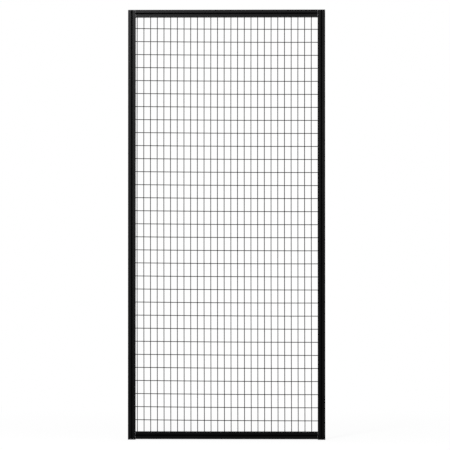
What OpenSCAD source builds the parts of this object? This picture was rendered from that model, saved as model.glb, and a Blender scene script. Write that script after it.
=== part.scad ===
// Machine guard fence panel.
// Two upright posts and two rails of slotted aluminium extrusion are butted into a tall frame.
// A sheet of welded wire mesh stands in the slots that face inwards, with its upright wires in front.
// +X runs along the panel's width and +Y to its rear. The origin is on the left post's outer side
// face, in the middle of the lip behind the slot, at half the panel's height.

/* [Panel] */
// Width over both posts
panel_w = 1000; // [500:1:1500]
// Height over the end caps
panel_h = 2180; // [1000:1:2500]

/* [Slotted extrusion] */
// Side of the square section
section_w = 38.1; // [37:0.1:42]
// Radius of the section's four long edges
edge_r = 1.6; // [0.5:0.1:2.5]
// Width of a slot's mouth
mouth_w = 8.1; // [7.9:0.1:9]
// Thickness of the two lips beside a mouth
lip_t = 2.6; // [2:0.1:3]
// Width of the cavity behind the lips
cavity_w = 20.6; // [18:0.1:21]
// Depth of the cavity's straight sides
cavity_side = 3.6; // [3.4:0.1:4]
// Depth of a slot, from the face to its floor
slot_d = 11.7; // [10.8:0.1:12.2]
// Bore through the middle of the section
core_d = 6.8; // [6:0.1:7.4]

/* [Welded mesh] */
// Size of a wire, across the flats of its eight sides
wire_d = 4; // [3:0.1:4.2]
// How far the two layers of wire sink into each other at a weld
weld_sink = 0.6; // [0.2:0.1:1]
// Spacing of the upright wires
upright_pitch = 34; // [25:0.5:60]
// Gap between the left post and the middle of the first upright wire
first_gap = 8.5; // [4:0.1:30]
// Spacing of the cross wires
cross_pitch = 66.2; // [30:0.1:100]
// Room between a cross wire's end and the floor of its slot
end_room = 1.5; // [0.5:0.1:3]
// Room between an upright wire's foot and the slot floor it stands on
foot_room = 0.3; // [0.1:0.1:1]
// Room left above the upright wires, so that the sheet can be put in
top_room = 3; // [2:0.1:5]

/* [Corner fixings] */
// Diameter of the screw's shank
screw_d = 7.9; // [7:0.1:7.9]
// Length of the screw inside the rail
screw_grip = 18; // [12:1:25]
// Diameter of the screw's button head
head_d = 13.9; // [12:0.1:14]
// Height of the screw's button head
head_h = 4.2; // [3.5:0.1:4.5]
// Key socket, across its flats
socket_af = 4.8; // [4:0.1:5]
// Depth of the key socket
socket_d = 2.6; // [2:0.1:3]
// Radial clearance of the screw in its tapped end and in its plate
screw_play = 0.05; // [0.02:0.01:0.08]
// Thickness of the anchor plate behind the lips
plate_t = 3; // [2:0.1:3.2]
// Length of the anchor plate along the post
plate_l = 14; // [13:0.5:14.5]
// Clearance between the anchor plate and the cavity's sides
plate_play = 0.3; // [0.1:0.1:0.5]
// Diameter of the access hole for the key through the post's core
access_d = 7; // [6:0.1:8]

/* [End caps] */
// Thickness of a cap
cap_t = 3; // [2:0.1:5]
// Bevel round a cap's outer edge
cap_bevel = 0.8; // [0.3:0.1:1.2]
// Length of a cap's plug in the bore
plug_l = 9; // [6:0.5:10]
// Radial clearance of the plug in the bore
plug_play = 0.05; // [0.02:0.01:0.1]

/* [Hidden] */
$fn = 48;
eps = 0.01;                                   // run-out of a cut past the surface it opens

aluminium = [0.07, 0.07, 0.08];
wire_black = [0.05, 0.05, 0.05];
cap_black = [0.1, 0.1, 0.1];
zinc = [0.72, 0.73, 0.75];

half = section_w / 2;
mid_y = -(mouth_w / 2 + half) / 2;            // middle plane of the panel
left_x = half;                                // middle lines of the posts
right_x = panel_w - half;
top_z = panel_h / 2 - half;                   // middle lines of the rails: the top one is level with
bottom_z = -panel_h / 2 + cap_t + half;       // the caps, the bottom one with the posts' cut ends
post_l = panel_h - 2 * cap_t;
rail_l = panel_w - 2 * section_w;
rail_mid_x = panel_w / 2;

slot_left_x = section_w - slot_d;             // floors of the slots that hold the mesh
slot_right_x = panel_w - slot_left_x;
slot_top_z = top_z - half + slot_d;
slot_bottom_z = bottom_z + half - slot_d;
layer_y = (wire_d - weld_sink) / 2;           // each layer's distance from the middle plane

first_upright = section_w + first_gap;        // as many upright wires as the slots leave room for
upright_room = slot_right_x - end_room - wire_d - first_upright;
upright_count = floor(upright_room / upright_pitch) + 1;
rows_above = floor((top_z - half - wire_d) / cross_pitch);
cross_count = 2 * rows_above + 1;             // a middle cross wire, and as many as fit above and below
third = round(cross_count / 3);               // the sheet is drawn as three bands of rows
lower_rows = [0 : third - 1];
middle_rows = [third : cross_count - third - 1];
upper_rows = [cross_count - third : cross_count - 1];

function upright_x(i) = first_upright + i * upright_pitch;
function row_z(i) = (i - rows_above) * cross_pitch;

// Outer outline of the extrusion: a square with rounded corners
module outline(inset = 0) {
  side = section_w - 2 * inset;
  corner = edge_r;
  square([side - 2 * corner, side], center = true);
  square([side, side - 2 * corner], center = true);
  for (x = [-1, 1], y = [-1, 1])
    translate([x * (side / 2 - corner), y * (side / 2 - corner)]) circle(r = corner);
}

// One slot, opening towards +Y: a narrow mouth, then a cavity that tapers to its floor at 45 degrees
module slot() {
  taper = slot_d - lip_t - cavity_side;
  shoulder = half - lip_t;
  translate([-mouth_w / 2, shoulder - eps]) square([mouth_w, lip_t + 2 * eps]);
  polygon([
    [-cavity_w / 2, shoulder], [-cavity_w / 2, shoulder - cavity_side],
    [-cavity_w / 2 + taper, half - slot_d], [cavity_w / 2 - taper, half - slot_d],
    [cavity_w / 2, shoulder - cavity_side], [cavity_w / 2, shoulder]
  ]);
}

// Cross-section of every post and rail
module section() {
  difference() {
    outline();
    circle(d = core_d);
    for (turn = [0 : 90 : 270]) rotate(turn) slot();
  }
}

// A length of extrusion along Z, about its middle
module extrusion(length) {
  linear_extrude(height = length, center = true) section();
}

module post(x) {
  color(aluminium) difference() {
    translate([x, mid_y, 0]) extrusion(post_l);
    for (z = [top_z, bottom_z])
      translate([x, mid_y, z]) rotate([0, 90, 0]) cylinder(d = access_d, h = section_w, center = true);
  }
}

// A rail's bore is opened out at both ends, where the corner screws are threaded in
module rail(z) {
  tapped_l = screw_grip + 2;
  color(aluminium) translate([rail_mid_x, mid_y, z]) rotate([0, 90, 0]) difference() {
    extrusion(rail_l);
    for (end = [-1, 1])
      translate([0, 0, end * (rail_l - tapped_l + eps) / 2])
        cylinder(d = screw_d + 2 * screw_play, h = tapped_l + eps, center = true);
  }
}

// A straight length of wire along Z, with flats towards X and Y
module wire(length) {
  rotate(180 / 8) cylinder(d = wire_d / cos(180 / 8), h = length, center = true, $fn = 8);
}

// A band of the sheet: its cross wires, and the stretch of every upright wire from low to high
module mesh_band(rows, low, high) {
  cross_l = slot_right_x - slot_left_x - 2 * end_room;
  color(wire_black) translate([0, mid_y, 0]) union() {
    for (i = [0 : upright_count - 1])
      translate([upright_x(i), -layer_y, (low + high) / 2]) wire(high - low);
    for (i = rows)
      translate([rail_mid_x, layer_y, row_z(i)]) rotate([0, 90, 0]) wire(cross_l);
  }
}

mesh_foot = slot_bottom_z + foot_room;
mesh_head = slot_top_z - top_room;
seam_low = row_z(third - 0.5);
seam_high = row_z(cross_count - third - 0.5);

module mesh_lower() { mesh_band(lower_rows, mesh_foot, seam_low); }
module mesh_middle() { mesh_band(middle_rows, seam_low, seam_high); }
module mesh_upper() { mesh_band(upper_rows, seam_high, mesh_head); }

// A moulded cap on a post's cut end, with a plug in the bore; end is 1 at the top and -1 at the foot
module cap(x, end) {
  color(cap_black) translate([x, mid_y, end * panel_h / 2]) mirror([0, 0, end > 0 ? 1 : 0]) {
    hull() {
      translate([0, 0, cap_bevel]) linear_extrude(cap_t - cap_bevel) outline();
      linear_extrude(cap_t / 2) outline(cap_bevel);
    }
    translate([0, 0, cap_t]) cylinder(d = core_d - 2 * plug_play, h = plug_l);
  }
}

// Places a fixing at a corner, with its own +Z running from the post into the rail
module at_corner(side, z) {
  face_x = side < 0 ? section_w : panel_w - section_w;
  translate([face_x, mid_y, z]) rotate([0, side < 0 ? 90 : -90, 0]) children();
}

// The steel plate that a corner screw draws up against the inside of the post's lips
module anchor(side, z) {
  color(zinc) at_corner(side, z) difference() {
    translate([-plate_l / 2, plate_play - cavity_w / 2, -lip_t - plate_t])
      cube([plate_l, cavity_w - 2 * plate_play, plate_t]);
    translate([0, 0, -lip_t - plate_t - eps])
      cylinder(d = screw_d + 2 * screw_play, h = plate_t + 2 * eps);
  }
}

// A button-head screw, from behind the anchor plate into the tapped end of the rail
module screw(side, z) {
  seat = lip_t + plate_t;
  dome_r = (pow(head_d / 2, 2) + pow(head_h, 2)) / (2 * head_h);
  color(zinc) at_corner(side, z) difference() {
    union() {
      translate([0, 0, -seat]) cylinder(d = screw_d, h = seat + screw_grip);
      intersection() {
        translate([0, 0, -seat - head_h]) cylinder(d = head_d, h = head_h);
        translate([0, 0, -seat - head_h + dome_r]) sphere(r = dome_r);
      }
    }
    translate([0, 0, -seat - head_h - eps])
      cylinder(d = socket_af / cos(30), h = socket_d + eps, $fn = 6);
  }
}

post(left_x);  // left_post
post(right_x);  // right_post
rail(top_z);  // top_rail
rail(bottom_z);  // bottom_rail
mesh_lower();
mesh_middle();
mesh_upper();
cap(left_x, 1);  // cap_top_left
cap(right_x, 1);  // cap_top_right
cap(left_x, -1);  // cap_bottom_left
cap(right_x, -1);  // cap_bottom_right
anchor(-1, top_z);  // anchor_top_left
anchor(1, top_z);  // anchor_top_right
anchor(-1, bottom_z);  // anchor_bottom_left
anchor(1, bottom_z);  // anchor_bottom_right
screw(-1, top_z);  // screw_top_left
screw(1, top_z);  // screw_top_right
screw(-1, bottom_z);  // screw_bottom_left
screw(1, bottom_z);  // screw_bottom_right
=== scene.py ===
"""Machine guard fence panel: a black slotted aluminium frame round a sheet of welded wire mesh.

The frame's own solids are the posts, the rails and the corner fixings. The end caps and the mesh are
modelled here, in the places that those solids give. Lengths are in metres.
"""
import math
import random

import bpy
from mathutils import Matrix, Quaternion, Vector


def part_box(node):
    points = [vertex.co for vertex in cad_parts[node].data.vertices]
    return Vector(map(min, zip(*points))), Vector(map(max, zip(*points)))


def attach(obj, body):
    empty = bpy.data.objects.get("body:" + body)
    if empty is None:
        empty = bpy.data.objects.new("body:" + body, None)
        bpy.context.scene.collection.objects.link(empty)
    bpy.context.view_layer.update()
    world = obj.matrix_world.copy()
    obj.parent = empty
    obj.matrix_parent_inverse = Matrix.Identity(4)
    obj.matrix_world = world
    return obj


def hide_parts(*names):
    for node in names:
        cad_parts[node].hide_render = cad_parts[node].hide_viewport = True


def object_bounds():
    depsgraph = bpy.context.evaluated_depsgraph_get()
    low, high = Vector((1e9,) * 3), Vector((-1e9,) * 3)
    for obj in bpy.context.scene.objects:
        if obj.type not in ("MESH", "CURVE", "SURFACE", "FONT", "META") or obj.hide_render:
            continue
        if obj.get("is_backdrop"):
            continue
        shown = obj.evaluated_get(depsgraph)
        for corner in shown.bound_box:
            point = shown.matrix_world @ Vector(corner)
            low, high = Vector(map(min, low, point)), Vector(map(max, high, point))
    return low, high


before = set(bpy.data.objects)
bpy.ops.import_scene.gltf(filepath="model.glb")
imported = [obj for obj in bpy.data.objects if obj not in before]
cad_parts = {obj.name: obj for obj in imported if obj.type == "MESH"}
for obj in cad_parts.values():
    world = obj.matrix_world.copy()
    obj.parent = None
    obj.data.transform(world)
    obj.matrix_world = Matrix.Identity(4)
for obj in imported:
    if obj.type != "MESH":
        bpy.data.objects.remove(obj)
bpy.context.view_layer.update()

# ---------------------------------------------------------------------------------------------------
# The camera. It stands far in front of the panel, a little right of its middle and a little below it,
# so that the inner side of the left post just shows and that of the right post hardly does.
# ---------------------------------------------------------------------------------------------------
panel_low, panel_high = (Vector(corner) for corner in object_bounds())
panel_middle = (panel_low + panel_high) / 2
camera_distance = 16
camera_right = 0.36
camera_down = 0.2
view_height = 2.2825          # what the view takes in at the panel's middle
aim_left = 0.0082             # the panel stands this much right of the view's middle
aim_down = 0.0022             # and this much above it

camera_data = bpy.data.cameras.new("camera")
camera_data.sensor_width = 36
camera_data.lens = camera_data.sensor_width * camera_distance / view_height
camera = bpy.data.objects.new("camera", camera_data)
aim = panel_middle - Vector((aim_left, 0, aim_down))
camera.location = aim + Vector((camera_right, -camera_distance, -camera_down))
camera.rotation_euler = (aim - camera.location).to_track_quat("-Z", "Y").to_euler()
bpy.context.scene.collection.objects.link(camera)
bpy.context.scene.camera = camera

# ---------------------------------------------------------------------------------------------------
# Posts and rails. They are lengths of slotted aluminium extrusion, anodised satin black over the die's
# faint lines and then sawn square, so that their cut ends are bare. Their edges are a little rounded.
# ---------------------------------------------------------------------------------------------------
edge_round = 0.00035
anodised_dark = (0.0004, 0.0004, 0.0004, 1)
anodised_light = (0.0036, 0.0036, 0.0039, 1)
anodised_specular = 0.03
slot_roughness = 0.75
skin_roughness = 0.17
slots_end, skin_starts = 0.88, 0.98      # on the way from the section's middle, 0, to its sides, 1
die_line_stretch = 0.004      # under 1, so that the lines are drawn out along a member
die_line_roughness = 0.2      # what the roughest of them add
cloud_share = 0.35            # how much of the colour's change is in soft clouds, and not in lines
bare_metal = (0.45, 0.45, 0.46, 1)
bare_roughness = 0.55
bare_edge = 0.0002            # the saw leaves bare metal this far round onto the edge
join_distance = 0.00001
noise_middle = (0.35, 0.65)   # most of a noise's values lie between these
noise_span = (0.3, 0.7)       # and nearly all of them between these
mix_sockets = {"FLOAT": (2, 3, 0), "RGBA": (6, 7, 2)}        # a mix node's two inputs and its output
left_low, left_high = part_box("left_post")
rail_low, rail_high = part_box("top_rail")
member_length = {0: rail_high.x - rail_low.x, 2: left_high.z - left_low.z}      # by the axis that it is along


def start_material(name):
    """A new material, with its node tree and its plain shader."""
    material = bpy.data.materials.new(name)
    material.use_nodes = True
    return material, material.node_tree, material.node_tree.nodes["Principled BSDF"]


def speckle(tree, scale, stretch=(1, 1, 1), detail=3):
    """Noise over the piece's own coordinates. A stretch under 1 draws it out along that axis."""
    place = tree.nodes.new("ShaderNodeTexCoord")
    mapping = tree.nodes.new("ShaderNodeMapping")
    mapping.inputs["Scale"].default_value = stretch
    noise = tree.nodes.new("ShaderNodeTexNoise")
    noise.inputs["Scale"].default_value = scale
    noise.inputs["Detail"].default_value = detail
    tree.links.new(place.outputs["Object"], mapping.inputs["Vector"])
    tree.links.new(mapping.outputs["Vector"], noise.inputs["Vector"])
    return noise.outputs["Fac"]


def feed(tree, value, socket):
    """Gives a socket another node's output, or a plain number or colour."""
    if isinstance(value, bpy.types.NodeSocket):
        tree.links.new(value, socket)
    else:
        socket.default_value = value


def reckon(tree, operation, *values):
    """A number worked out from others."""
    step = tree.nodes.new("ShaderNodeMath")
    step.operation = operation
    for value, socket in zip(values, step.inputs):
        feed(tree, value, socket)
    return step.outputs[0]


def blend(tree, kind, share, first, second):
    """Two numbers or colours mixed, with the given share of the second."""
    mix = tree.nodes.new("ShaderNodeMix")
    mix.data_type = kind
    first_socket, second_socket, mixed = mix_sockets[kind]
    feed(tree, share, mix.inputs["Factor"])
    feed(tree, first, mix.inputs[first_socket])
    feed(tree, second, mix.inputs[second_socket])
    return mix.outputs[mixed]


def grade(tree, value, low, high, at_low, at_high):
    """Turns a value from low to high into one from at_low to at_high, and holds it there beyond."""
    scale = tree.nodes.new("ShaderNodeMapRange")
    scale.inputs["From Min"].default_value, scale.inputs["From Max"].default_value = low, high
    scale.inputs["To Min"].default_value, scale.inputs["To Max"].default_value = at_low, at_high
    tree.links.new(value, scale.inputs["Value"])
    return scale.outputs["Result"]


def tint(tree, shader, fac, dark, light):
    """Colours the shader between dark and light by a noise."""
    ramp = tree.nodes.new("ShaderNodeValToRGB")
    first, last = ramp.color_ramp.elements
    first.position, last.position = noise_middle
    first.color, last.color = dark, light
    tree.links.new(fac, ramp.inputs["Fac"])
    tree.links.new(ramp.outputs["Color"], shader.inputs["Base Color"])


def roughen(tree, shader, fac, smoothest, roughest):
    """Sets the shader's roughness between two values by a noise."""
    tree.links.new(grade(tree, fac, *noise_span, smoothest, roughest), shader.inputs["Roughness"])


def raise_surface(tree, shader, fac, depth, strength, under=None):
    """Bumps the shader by a noise, on top of an earlier bump if there is one."""
    bump = tree.nodes.new("ShaderNodeBump")
    bump.inputs["Distance"].default_value = depth
    bump.inputs["Strength"].default_value = strength
    tree.links.new(fac, bump.inputs["Height"])
    if under is not None:
        tree.links.new(under, bump.inputs["Normal"])
    tree.links.new(bump.outputs["Normal"], shader.inputs["Normal"])
    return bump.outputs["Normal"]


def across_box(tree, axes):
    """0 at the middle of a piece's own box and 1 at its sides, by the farthest of the given axes."""
    place = tree.nodes.new("ShaderNodeTexCoord")
    parts = tree.nodes.new("ShaderNodeSeparateXYZ")
    tree.links.new(place.outputs["Generated"], parts.inputs["Vector"])
    farthest = 0
    for axis in axes:
        from_middle = reckon(tree, "ABSOLUTE", reckon(tree, "SUBTRACT", parts.outputs[axis], 0.5))
        farthest = reckon(tree, "MAXIMUM", farthest, reckon(tree, "MULTIPLY", from_middle, 2))
    return farthest


def bare_at_ends(tree, shader, along):
    """Leaves bare metal where the saw cut the member to length."""
    almost_end = 1 - 2 * bare_edge / member_length[along]
    ends = reckon(tree, "GREATER_THAN", across_box(tree, [along]), almost_end)
    tree.links.new(ends, shader.inputs["Metallic"])
    for finish, kind, bare in (("Base Color", "RGBA", bare_metal), ("Roughness", "FLOAT", bare_roughness)):
        anodised = shader.inputs[finish].links[0].from_socket
        tree.links.new(blend(tree, kind, ends, anodised, bare), shader.inputs[finish])


def black_anodising(name, along):
    """Satin black anodising over an extrusion that runs along the given axis. It is dull in the slots."""
    material, tree, shader = start_material(name)
    stretch = [die_line_stretch if axis == along else 1 for axis in range(3)]
    lines = speckle(tree, scale=900, stretch=stretch, detail=4)
    clouds = speckle(tree, scale=7, detail=2)
    etch = speckle(tree, scale=5200, detail=2)
    tint(tree, shader, blend(tree, "FLOAT", cloud_share, lines, clouds), anodised_dark, anodised_light)
    outwards = across_box(tree, [axis for axis in range(3) if axis != along])
    satin = grade(tree, outwards, slots_end, skin_starts, slot_roughness, skin_roughness)
    roughness = reckon(tree, "MULTIPLY_ADD", lines, die_line_roughness, satin)
    tree.links.new(roughness, shader.inputs["Roughness"])
    die_lines = raise_surface(tree, shader, lines, depth=0.00005, strength=0.4)
    raise_surface(tree, shader, etch, depth=0.00002, strength=0.25, under=die_lines)
    shader.inputs["Specular IOR Level"].default_value = anodised_specular
    bare_at_ends(tree, shader, along)
    return material


def join_faces(piece):
    """Joins a solid's faces at the edges that they share."""
    weld = piece.modifiers.new("joined faces", "WELD")
    weld.merge_threshold = join_distance


def round_edges(piece, width):
    """Rounds a solid's sharp edges a little."""
    bevel = piece.modifiers.new("rounded edges", "BEVEL")
    bevel.width = width
    bevel.segments = 2
    bevel.limit_method = "ANGLE"
    bevel.angle_limit = math.radians(35)
    bevel.harden_normals = True


for members, material in (
    (("left_post", "right_post"), black_anodising("black_anodising_upright", along=2)),
    (("top_rail", "bottom_rail"), black_anodising("black_anodising_level", along=0)),
):
    for name in members:
        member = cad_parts[name]
        member.data.materials.clear()
        member.data.materials.append(material)
        join_faces(member)
        round_edges(member, edge_round)

# ---------------------------------------------------------------------------------------------------
# Corner fixings. A zinc-plated button-head screw is turned into each end of each rail, and draws a
# zinc-plated steel plate up behind the lips of the post's inner slot.
# ---------------------------------------------------------------------------------------------------
zinc_dull = (0.42, 0.43, 0.45, 1)
zinc_bright = (0.56, 0.56, 0.57, 1)
plate_round = 0.0003          # how far the plates' edges are rounded
corners = ("top_left", "top_right", "bottom_left", "bottom_right")


def zinc_plating():
    """Bright zinc, a little clouded."""
    material, tree, shader = start_material("zinc_plating")
    tint(tree, shader, speckle(tree, scale=260, detail=4), zinc_dull, zinc_bright)
    roughen(tree, shader, speckle(tree, scale=900), smoothest=0.26, roughest=0.42)
    raise_surface(tree, shader, speckle(tree, scale=2600), depth=0.00003, strength=0.2)
    shader.inputs["Metallic"].default_value = 1
    return material


plating = zinc_plating()
for corner in corners:
    for fixing in ("anchor_", "screw_"):
        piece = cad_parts[fixing + corner]
        piece.data.materials.clear()
        piece.data.materials.append(plating)
        join_faces(piece)
    round_edges(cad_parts["anchor_" + corner], plate_round)

# ---------------------------------------------------------------------------------------------------
# End caps. Each closes a post's cut end: a moulded black plastic plate with rounded edges, a shallow
# groove near its rim and a round moulding mark, held by a round plug in the post's bore.
# ---------------------------------------------------------------------------------------------------
cap_corner = 0.0016
cap_thickness = 0.003
groove_height = 0.00265       # of the groove's floor above the post's end
middle_height = 0.0029        # the cap sinks a little towards its middle
cap_profile = (               # (inset from the rim, height above the post's end) from the seat to the middle
    (0.0003, 0.0), (0.0, 0.0003), (0.0, 0.0022), (0.0003, 0.0027), (0.0008, cap_thickness),
    (0.0042, cap_thickness), (0.0045, groove_height), (0.0052, groove_height), (0.0055, cap_thickness),
    (0.0130, middle_height),
)
mark_radius = 0.0036
mark_floor_radius = 0.92 * mark_radius
mark_depth = 0.0003
plug_radius = 0.00335
plug_length = 0.009
plug_bevel = 0.0005
corner_steps = 5
cap_sides = 4 * (corner_steps + 1)       # round every level of a cap, so that the levels join up
plastic_dark = (0.0050, 0.0050, 0.0052, 1)
plastic_light = (0.0075, 0.0075, 0.0078, 1)
plastic_specular = 0.15


def moulded_plastic():
    """Matt black plastic with the fine even grain of its mould."""
    material, tree, shader = start_material("moulded_plastic")
    tint(tree, shader, speckle(tree, scale=40), plastic_dark, plastic_light)
    roughen(tree, shader, speckle(tree, scale=1200), smoothest=0.48, roughest=0.6)
    raise_surface(tree, shader, speckle(tree, scale=3200, detail=1), depth=0.00006, strength=0.5)
    shader.inputs["Specular IOR Level"].default_value = plastic_specular
    return material


def make_piece(name, points, faces, material, smooth_angle):
    """A mesh object from points and faces, riding on the panel. Flatter bends than the angle are smooth."""
    mesh = bpy.data.meshes.new(name)
    mesh.from_pydata(points, [], faces)
    mesh.materials.append(material)
    mesh.update()
    piece = bpy.data.objects.new(name, mesh)
    bpy.context.scene.collection.objects.link(piece)
    mesh.shade_smooth()
    mesh.set_sharp_from_angle(angle=math.radians(smooth_angle))
    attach(piece, "root")
    return piece


def rounded_square(half_side):
    """Points round a square with a cap's rounded corners, anticlockwise."""
    points = []
    for quarter in range(4):
        turn = math.radians(90 * quarter)
        for step in range(corner_steps + 1):
            angle = math.radians(90) * step / corner_steps
            x = half_side - cap_corner + cap_corner * math.cos(angle)
            y = half_side - cap_corner + cap_corner * math.sin(angle)
            points.append((x * math.cos(turn) - y * math.sin(turn), x * math.sin(turn) + y * math.cos(turn)))
    return points


def circle(radius):
    """Points round a circle, anticlockwise. Each quarter has as many as a rounded square's corner."""
    angles = [2 * math.pi * (i + 0.5) / cap_sides for i in range(cap_sides)]
    return [(radius * math.cos(angle), radius * math.sin(angle)) for angle in angles]


def skin(rings):
    """Faces that join rings of equal length, one after another, and close both ends."""
    count = len(rings[0])
    points = [point for ring in rings for point in ring]
    faces = [tuple(reversed(range(count)))]
    for r in range(len(rings) - 1):
        for i in range(count):
            j = (i + 1) % count
            faces.append((r * count + i, r * count + j, (r + 1) * count + j, (r + 1) * count + i))
    faces.append(tuple(range((len(rings) - 1) * count, len(rings) * count)))
    return points, faces


plastic = moulded_plastic()
for corner in corners:
    low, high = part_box("cap_" + corner)
    half_side = (high.x - low.x) / 2
    x, y = (low.x + high.x) / 2, (low.y + high.y) / 2
    outwards = 1 if corner.startswith("top") else -1
    seat_z = (high.z if outwards > 0 else low.z) - outwards * cap_thickness
    levels = [(circle(plug_radius - plug_bevel), -plug_length)]
    levels += [(circle(plug_radius), plug_bevel - plug_length), (circle(plug_radius), 0)]
    levels += [(rounded_square(half_side - inset), height) for inset, height in cap_profile]
    levels += [(circle(mark_radius), middle_height), (circle(mark_floor_radius), middle_height - mark_depth)]
    points, faces = skin([[(px, py, height) for px, py in level] for level, height in levels])
    points = [(x + px, y + py * outwards, seat_z + pz * outwards) for px, py, pz in points]
    cap = make_piece("end_cap_" + corner, points, faces, plastic, smooth_angle=32)
    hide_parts("cap_" + corner)

# ---------------------------------------------------------------------------------------------------
# The mesh. Round steel wires are laid in two layers, the upright ones in front, and welded where they
# cross, so that each pair sinks a little into each other. The sheet is coated black after welding. It
# is a little out of square and bent, and stands in the inner slots of the posts and rails.
# ---------------------------------------------------------------------------------------------------
wire_radius = 0.002
wire_sides = 12
cut_bevel = 0.0004            # round a wire's cut ends
weld_sink = 0.0006
bead_narrowest, bead_widest = 0.0020, 0.0024
bead_thickness = 0.0009
bead_sides = 10
bead_tilts = (-65, -30, 0, 30, 65)       # the angles, from the bead's rim, at which its rings lie
upright_pitch = 0.034
first_gap = 0.0085            # from the left post to the middle of the first upright wire
cross_pitch = 0.0662
out_of_square = 0.0056        # how far the cross wires drop for each metre to the right
lean = 0.0006                 # how far the upright wires lean to the left for each metre up
bend = 0.0012                 # how far the wires bend between the middle of the sheet and its edges
lift = 0.0006                 # how far the sheet's middle wire lies above the panel's middle
sway = 0.0002                 # how far a wire strays from its own line
upright_run, cross_run = 2.2, 1.0        # about how long the two kinds of wire are
coat_dark = (0.0020, 0.0020, 0.0022, 1)
coat_light = (0.0055, 0.0055, 0.0058, 1)
coat_specular = 0.1


def black_coating():
    """Semi-matt black coating over wire, with a fine skin like an orange's."""
    material, tree, shader = start_material("black_coating")
    tint(tree, shader, speckle(tree, scale=320), coat_dark, coat_light)
    roughen(tree, shader, speckle(tree, scale=700), smoothest=0.38, roughest=0.52)
    raise_surface(tree, shader, speckle(tree, scale=1100, detail=2), depth=0.00012, strength=0.6)
    shader.inputs["Specular IOR Level"].default_value = coat_specular
    return material


def add_skin(points, faces, rings):
    """Adds the skin over some rings to a mesh's points and faces."""
    skin_points, skin_faces = skin(rings)
    first = len(points)
    points.extend(tuple(point) for point in skin_points)
    faces.extend(tuple(first + i for i in face) for face in skin_faces)


def add_wire(points, faces, line, across):
    """Adds a round wire along a line of points to a mesh's points and faces. Its cut ends are bevelled."""
    start, end = Vector(line[0]), Vector(line[-1])
    along = (end - start).normalized()
    side = Vector(across)
    other = along.cross(side)
    rings = [(start, wire_radius - cut_bevel), (start + along * cut_bevel, wire_radius)]
    rings += [(Vector(p), wire_radius) for p in line[1:-1]]
    rings += [(end - along * cut_bevel, wire_radius), (end, wire_radius - cut_bevel)]
    turns = [2 * math.pi * i / wire_sides for i in range(wire_sides)]
    rings = [
        [centre + radius * (math.cos(turn) * side + math.sin(turn) * other) for turn in turns]
        for centre, radius in rings
    ]
    add_skin(points, faces, rings)


def add_weld(points, faces, centre, width):
    """Adds a weld: a bead squeezed flat between two wires."""
    turns = [2 * math.pi * i / bead_sides for i in range(bead_sides)]
    rings = []
    for tilt in bead_tilts:
        level = bead_thickness * math.sin(math.radians(tilt))
        reach = width * math.cos(math.radians(tilt))
        rings.append([
            centre + Vector((reach * math.sin(turn), level, reach * math.cos(turn)))
            for turn in turns
        ])
    add_skin(points, faces, rings)


mesh_low, mesh_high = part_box("mesh_lower")[0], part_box("mesh_upper")[1]
middle_y = (left_low.y + left_high.y) / 2
layer_y = wire_radius - weld_sink / 2
first_x = left_high.x + first_gap
upright_count = int((mesh_high.x - 2 * wire_radius - first_x) / upright_pitch) + 1
rows_above = int((rail_low.z - 2 * wire_radius) / cross_pitch)
row_count = 2 * rows_above + 1           # one in the middle, and as many below as above
shake = random.Random(7)


def strays(length):
    """A wire's small sideways wander, in three slow waves, as a function of the place along it."""
    waves = []
    for _ in range(3):
        turns = shake.uniform(0.6, 2.4)
        start = shake.uniform(0, 2 * math.pi)
        height = shake.uniform(0.3, 1)
        waves.append((turns, start, height))

    def stray(place):
        heights = (
            height * math.sin(2 * math.pi * turns * place / length + start)
            for turns, start, height in waves
        )
        return sway * sum(heights) / 2

    return stray


upright_strays = [strays(upright_run) for _ in range(upright_count)]
row_strays = [strays(cross_run) for _ in range(row_count)]


def plain_x(i):
    """An upright wire's place across the panel, in a true sheet."""
    return first_x + i * upright_pitch


def upright_x(i, z):
    """An upright wire's place across the panel at a height, in the real sheet."""
    bulge = bend * (1 - (z / mesh_high.z) ** 2)
    return plain_x(i) - lean * z - bulge + upright_strays[i](z)


def row_z(j, x):
    """A cross wire's height at a place across the panel, in the real sheet."""
    up = (j - rows_above) / rows_above
    across = (x - panel_middle.x) / (mesh_high.x - panel_middle.x)
    height = (j - rows_above) * cross_pitch + lift + bend * (across ** 2 - up ** 2)
    return height - out_of_square * (x - panel_middle.x) + row_strays[j](x)


coating = black_coating()
points, faces = [], []
for i in range(upright_count):
    heights = [mesh_low.z] + [row_z(j, plain_x(i)) for j in range(row_count)] + [mesh_high.z]
    line = [(upright_x(i, z), middle_y - layer_y, z) for z in heights]
    add_wire(points, faces, line, across=(1, 0, 0))
upright_wires = make_piece("upright_wires", points, faces, coating, smooth_angle=50)
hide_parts("mesh_lower", "mesh_middle", "mesh_upper")

points, faces = [], []
for j in range(row_count):
    places = [mesh_low.x] + [plain_x(i) for i in range(upright_count)] + [mesh_high.x]
    line = [(x, middle_y + layer_y, row_z(j, x)) for x in places]
    add_wire(points, faces, line, across=(0, 0, 1))
cross_wires = make_piece("cross_wires", points, faces, coating, smooth_angle=50)

points, faces = [], []
for j in range(row_count):
    for i in range(upright_count):
        z = row_z(j, plain_x(i))
        centre = Vector((upright_x(i, z), middle_y, z))
        add_weld(points, faces, centre, width=shake.uniform(bead_narrowest, bead_widest))
welds = make_piece("welds", points, faces, coating, smooth_angle=60)

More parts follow.
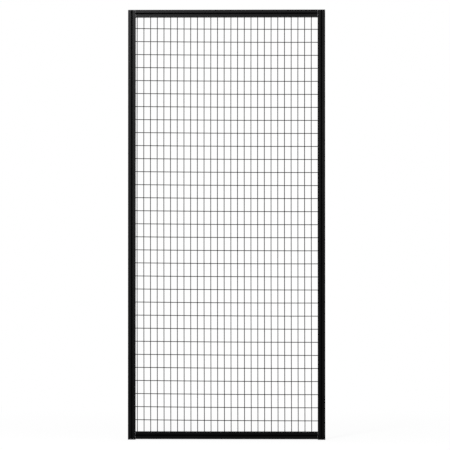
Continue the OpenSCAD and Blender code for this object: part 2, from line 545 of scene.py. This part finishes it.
# ---------------------------------------------------------------------------------------------------
# The studio. A pale floor under the panel and an even white surround, which the gloss of the black
# surfaces sees too. The floor keeps the panel's soft shadow, and is plain white farther off.
# ---------------------------------------------------------------------------------------------------
floor_z = panel_low.z
floor_reach = 40
floor_colour = (0.93, 0.93, 0.93, 1)
floor_roughness = 0.9
floor_specular = 0.1
white = (1, 1, 1, 1)
shadow_share = 0.25           # how much of the floor's own shading is seen near the panel
shadow_reach = 3.5            # how far from the panel that goes
white_near = 1.11             # the plain white's strength at the panel, which makes up for the shading
surround_light = 0.4          # how much of the surround's white lights the panel and the floor


def seen_directly(tree):
    """1 where a ray comes from the camera, a gloss or a clear surface."""
    path = tree.nodes.new("ShaderNodeLightPath")
    found = path.outputs["Is Camera Ray"]
    for kind in ("Is Glossy Ray", "Is Transmission Ray"):
        found = reckon(tree, "MAXIMUM", found, path.outputs[kind])
    return found


def pale_floor():
    """A matt pale floor. Where it is seen directly, most of what is seen is plain white."""
    material, tree, shader = start_material("pale_floor")
    shader.inputs["Base Color"].default_value = floor_colour
    shader.inputs["Roughness"].default_value = floor_roughness
    shader.inputs["Specular IOR Level"].default_value = floor_specular
    place = tree.nodes.new("ShaderNodeTexCoord")
    length = tree.nodes.new("ShaderNodeVectorMath")
    length.operation = "LENGTH"
    tree.links.new(place.outputs["Object"], length.inputs[0])
    distance = length.outputs["Value"]
    whiteness = grade(tree, distance, 0, shadow_reach, 1 - shadow_share, 1)
    weight = reckon(tree, "MULTIPLY", seen_directly(tree), whiteness)
    glow = tree.nodes.new("ShaderNodeEmission")
    tree.links.new(grade(tree, distance, 0, shadow_reach, white_near, 1), glow.inputs["Strength"])
    mix = tree.nodes.new("ShaderNodeMixShader")
    tree.links.new(weight, mix.inputs["Fac"])
    tree.links.new(shader.outputs["BSDF"], mix.inputs[1])
    tree.links.new(glow.outputs["Emission"], mix.inputs[2])
    tree.links.new(mix.outputs["Shader"], tree.nodes["Material Output"].inputs["Surface"])
    return material


floor_mesh = bpy.data.meshes.new("floor")
floor_mesh.from_pydata(
    [(x * floor_reach, y * floor_reach, 0) for x, y in ((-1, -1), (1, -1), (1, 1), (-1, 1))],
    [], [(0, 1, 2, 3)],
)
floor_mesh.materials.append(pale_floor())
floor = bpy.data.objects.new("floor", floor_mesh)
floor.location = (panel_middle.x, panel_middle.y, floor_z)
bpy.context.scene.collection.objects.link(floor)
floor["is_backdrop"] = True

world = bpy.data.worlds.new("surround")
bpy.context.scene.world = world
world.use_nodes = True
tree = world.node_tree
background = tree.nodes["Background"]
background.inputs["Color"].default_value = white
brightness = grade(tree, seen_directly(tree), 0, 1, surround_light, 1)
tree.links.new(brightness, background.inputs["Strength"])

# ---------------------------------------------------------------------------------------------------
# The lamps. A broad soft lamp leans across in front of the panel, from low on the left to high on the
# right, and a smaller one stands high on the left. They are between the camera and the panel, so the
# camera doesn't see them.
# ---------------------------------------------------------------------------------------------------


def soft_lamp(name, place, aim, width, height, power, roll=0):
    """A flat lamp with an even face, turned about its own aim by the roll."""
    data = bpy.data.lights.new(name, "AREA")
    data.shape = "RECTANGLE"
    data.size, data.size_y = width, height
    data.energy = power
    lamp = bpy.data.objects.new(name, data)
    lamp.location = place
    facing = (Vector(aim) - Vector(place)).to_track_quat("-Z", "Y")
    lamp.rotation_euler = (facing @ Quaternion((0, 0, 1), math.radians(roll))).to_euler()
    lamp.visible_camera = False
    bpy.context.scene.collection.objects.link(lamp)


soft_lamp("broad_lamp", (0.1, -4.6, 0.6), aim=(0.3, 0, 0.3), width=3.0, height=1.5, power=78, roll=34)
soft_lamp("high_lamp", (-0.4, -4.6, 1.9), aim=(0.02, 0, 1.0), width=0.6, height=1.2, power=115)

bpy.context.scene.view_settings.view_transform = "Standard"
